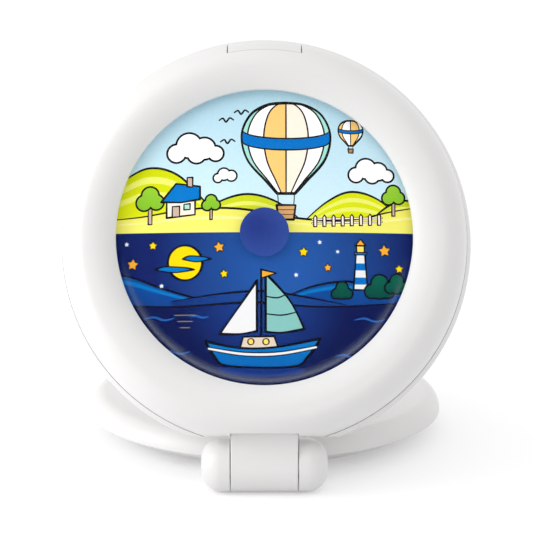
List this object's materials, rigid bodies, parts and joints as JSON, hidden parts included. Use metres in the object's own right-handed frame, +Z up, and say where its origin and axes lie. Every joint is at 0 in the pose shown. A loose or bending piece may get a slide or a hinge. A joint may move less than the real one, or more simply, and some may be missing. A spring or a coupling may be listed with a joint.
{
  "type": "folding alarm clock with night light",
  "caption": "Round children's alarm clock with a lit day and night dial, leaning back on a hinge barrel from a round dished base that it folds down onto.",
  "frame": {"origin": "on the table, midway between the foremost point of the dial ring and the rearmost point of the base, on the clock's middle plane", "axes": "+Z up, +X to the right when facing the dial, the dial faces -Y and leans back"},
  "size_m": [0.136, 0.15, 0.1437],
  "materials": {
    "white_shell": "smooth white moulded plastic with a soft sheen",
    "clear_lens": "clear polished plastic",
    "dial_artwork": "printed film, day scene above and night scene below",
    "badge_blue": "glossy blue plastic",
    "milky_diffuser": "milky translucent plastic",
    "clear_guide": "clear acrylic with polished edges",
    "black_plastic": "matt black moulding",
    "led_yellow": "phosphor resin in a white case",
    "circuit_board": "green solder mask on glass fibre",
    "battery_sleeve": "printed sleeve on a metal can",
    "spring_steel": "nickel-plated spring steel",
    "screw_steel": "zinc-plated steel",
    "display_glass": "grey-green liquid crystal glass",
    "smoked_window": "clear glossy window",
    "grey_rubber": "soft matt rubber",
    "blue_control": "satin blue plastic"
  },
  "bodies": {
    "base": {"base_body": "white_shell", "base_cover": "white_shell", "base_screws": "screw_steel", "rubber_feet": "grey_rubber", "hinge_pin": "screw_steel", "hinge_friction_washers": "spring_steel"},
    "clock_head": {"front_ring": "white_shell", "rear_shell": "white_shell", "dial_lens": "clear_lens", "dial_print": "dial_artwork", "centre_badge": "badge_blue", "light_diffuser": "milky_diffuser", "day_light_guide": "clear_guide", "night_light_guide": "clear_guide", "light_divider": "black_plastic", "day_leds": "led_yellow", "night_leds": "led_yellow", "light_board": "circuit_board", "main_board": "circuit_board", "top_button_board": "circuit_board", "top_button_switch": "black_plastic", "key_switches": "black_plastic", "slide_switch_case": "black_plastic", "speaker": "black_plastic", "controller_chip": "black_plastic", "board_header": "black_plastic", "battery_cells": "battery_sleeve", "battery_contacts": "spring_steel", "battery_springs": "spring_steel", "battery_door": "white_shell", "battery_door_screw": "screw_steel", "board_screws": "screw_steel", "shell_screws": "screw_steel", "lcd_display": "display_glass", "display_window": "smoked_window", "display_contact_strips": "grey_rubber"},
    "top_button_body": {"top_button": "white_shell"},
    "alarm_key_body": {"alarm_key": "blue_control"},
    "hour_key_body": {"hour_key": "blue_control"},
    "minute_key_body": {"minute_key": "blue_control"},
    "mode_key_body": {"mode_key": "blue_control"},
    "slide_switch_knob_body": {"slide_switch_knob": "blue_control"}
  },
  "joints": [
    {"name": "clock_fold", "type": "hinge", "parent": "base", "child": "clock_head", "pos_m": [0, -0.0601, 0.0089], "axis": [-1, 0, 0], "range_deg": [0, 71.8]},
    {"name": "top_button_press", "type": "slide", "parent": "clock_head", "child": "top_button_body", "axis": [0, -0.3123, -0.95], "range_m": [0, 0.0008], "stiffness_N_per_m": 1500},
    {"name": "slide_switch_move", "type": "slide", "parent": "clock_head", "child": "slide_switch_knob_body", "axis": [1, 0, 0], "range_m": [0, 0.0035]},
    {"name": "alarm_key_press", "type": "slide", "parent": "clock_head", "child": "alarm_key_body", "axis": [0, -0.95, 0.3123], "range_m": [0, 0.0006], "stiffness_N_per_m": 1000},
    {"name": "hour_key_press", "type": "slide", "parent": "clock_head", "child": "hour_key_body", "axis": [0, -0.95, 0.3123], "range_m": [0, 0.0006], "stiffness_N_per_m": 1000},
    {"name": "minute_key_press", "type": "slide", "parent": "clock_head", "child": "minute_key_body", "axis": [0, -0.95, 0.3123], "range_m": [0, 0.0006], "stiffness_N_per_m": 1000},
    {"name": "mode_key_press", "type": "slide", "parent": "clock_head", "child": "mode_key_body", "axis": [0, -0.95, 0.3123], "range_m": [0, 0.0006], "stiffness_N_per_m": 1000}
  ]
}
